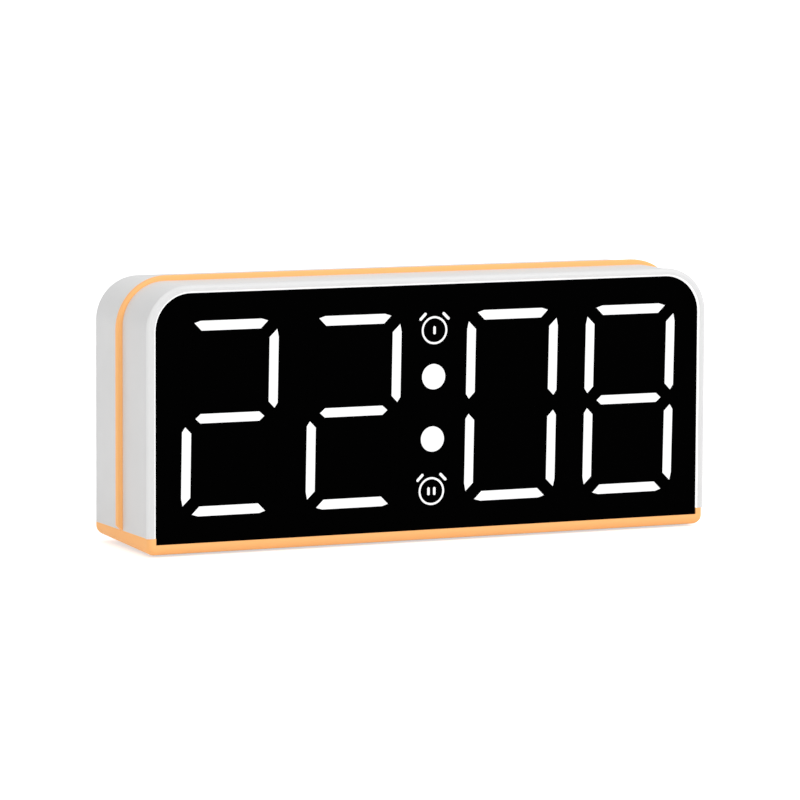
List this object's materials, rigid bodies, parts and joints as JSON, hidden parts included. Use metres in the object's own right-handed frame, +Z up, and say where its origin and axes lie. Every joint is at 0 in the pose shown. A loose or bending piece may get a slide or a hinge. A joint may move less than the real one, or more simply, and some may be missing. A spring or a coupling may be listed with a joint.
{
  "type": "digital led desk clock",
  "caption": "Low, wide digital desk clock: white arched plastic case, light orange middle band and base tray, flat black face with white LED digits, colon and alarm signs.",
  "frame": {"origin": "middle of the footprint, on the surface that the rubber feet stand on", "axes": "+Z up, display faces -Y, +X to the right as the display is read"},
  "size_m": [0.1616, 0.0376, 0.0703],
  "materials": {
    "white_shell": "satin white moulded plastic",
    "orange_trim": "satin light orange moulded plastic",
    "black_face": "black acrylic face",
    "lit_guide": "lit white light guide",
    "dark_guide": "smoked light guide, not lit",
    "reflector_white": "matt white",
    "board_green": "green solder mask",
    "led_cream": "LED packages",
    "chip_black": "matt black mouldings",
    "socket_ivory": "ivory mouldings and ribbon",
    "plunger_grey": "grey switch plungers",
    "button_grey": "satin light grey buttons",
    "cover_white": "satin white cover",
    "nickel": "nickel-plated steel",
    "screw_steel": "zinc-plated screws",
    "foot_rubber": "dark grey rubber"
  },
  "bodies": {
    "case": {"alarm_1_icon": "lit_guide", "alarm_2_icon": "lit_guide", "base_screws": "screw_steel", "base_tray": "orange_trim", "buzzer": "chip_black", "case_screws": "screw_steel", "cell_base_contact": "nickel", "cell_side_contact": "nickel", "coin_cell": "nickel", "colon_dots": "lit_guide", "controller_chip": "chip_black", "crystal": "nickel", "dimmer_switch": "chip_black", "display_panel": "black_face", "driver_chips": "chip_black", "front_shell": "white_shell", "hours_tens_segments": "lit_guide", "hours_units_segments": "lit_guide", "inlet_shell": "nickel", "inlet_tongue": "chip_black", "led_board": "board_green", "led_board_screws": "screw_steel", "led_chips": "led_cream", "main_board": "board_green", "main_board_screws": "screw_steel", "minutes_tens_segments": "lit_guide", "minutes_units_segments": "lit_guide", "rear_shell": "white_shell", "reflector_block": "reflector_white", "ribbon_cable": "socket_ivory", "ribbon_sockets": "socket_ivory", "rubber_feet": "foot_rubber", "tact_switches": "chip_black", "trim_band": "orange_trim", "unlit_segments": "dark_guide"},
    "mode_key": {"mode_button": "button_grey", "mode_plunger": "plunger_grey"},
    "alarm_key": {"alarm_button": "button_grey", "alarm_plunger": "plunger_grey"},
    "up_key": {"up_button": "button_grey", "up_plunger": "plunger_grey"},
    "down_key": {"down_button": "button_grey", "down_plunger": "plunger_grey"},
    "snooze_key": {"snooze_button": "button_grey", "snooze_plunger": "plunger_grey"},
    "brightness_slider": {"dimmer_knob": "button_grey"},
    "cell_cover": {"battery_cover": "cover_white"}
  },
  "joints": [
    {"name": "mode_press", "type": "slide", "parent": "case", "child": "mode_key", "axis": [0, -1, 0], "range_m": [0, 0.0005], "stiffness_N_per_m": 2000, "springref_m": -0.0002},
    {"name": "alarm_press", "type": "slide", "parent": "case", "child": "alarm_key", "axis": [0, -1, 0], "range_m": [0, 0.0005], "stiffness_N_per_m": 2000, "springref_m": -0.0002},
    {"name": "up_press", "type": "slide", "parent": "case", "child": "up_key", "axis": [0, -1, 0], "range_m": [0, 0.0005], "stiffness_N_per_m": 2000, "springref_m": -0.0002},
    {"name": "down_press", "type": "slide", "parent": "case", "child": "down_key", "axis": [0, -1, 0], "range_m": [0, 0.0005], "stiffness_N_per_m": 2000, "springref_m": -0.0002},
    {"name": "snooze_press", "type": "slide", "parent": "case", "child": "snooze_key", "axis": [0, -1, 0], "range_m": [0, 0.0005], "stiffness_N_per_m": 2000, "springref_m": -0.0002},
    {"name": "brightness_slide", "type": "slide", "parent": "case", "child": "brightness_slider", "axis": [1, 0, 0], "range_m": [-0.002, 0.002]},
    {"name": "cover_twist", "type": "hinge", "parent": "case", "child": "cell_cover", "pos_m": [0.05477, 0.0177, 0.0265], "axis": [0, 1, 0], "range_deg": [0, 60]}
  ]
}
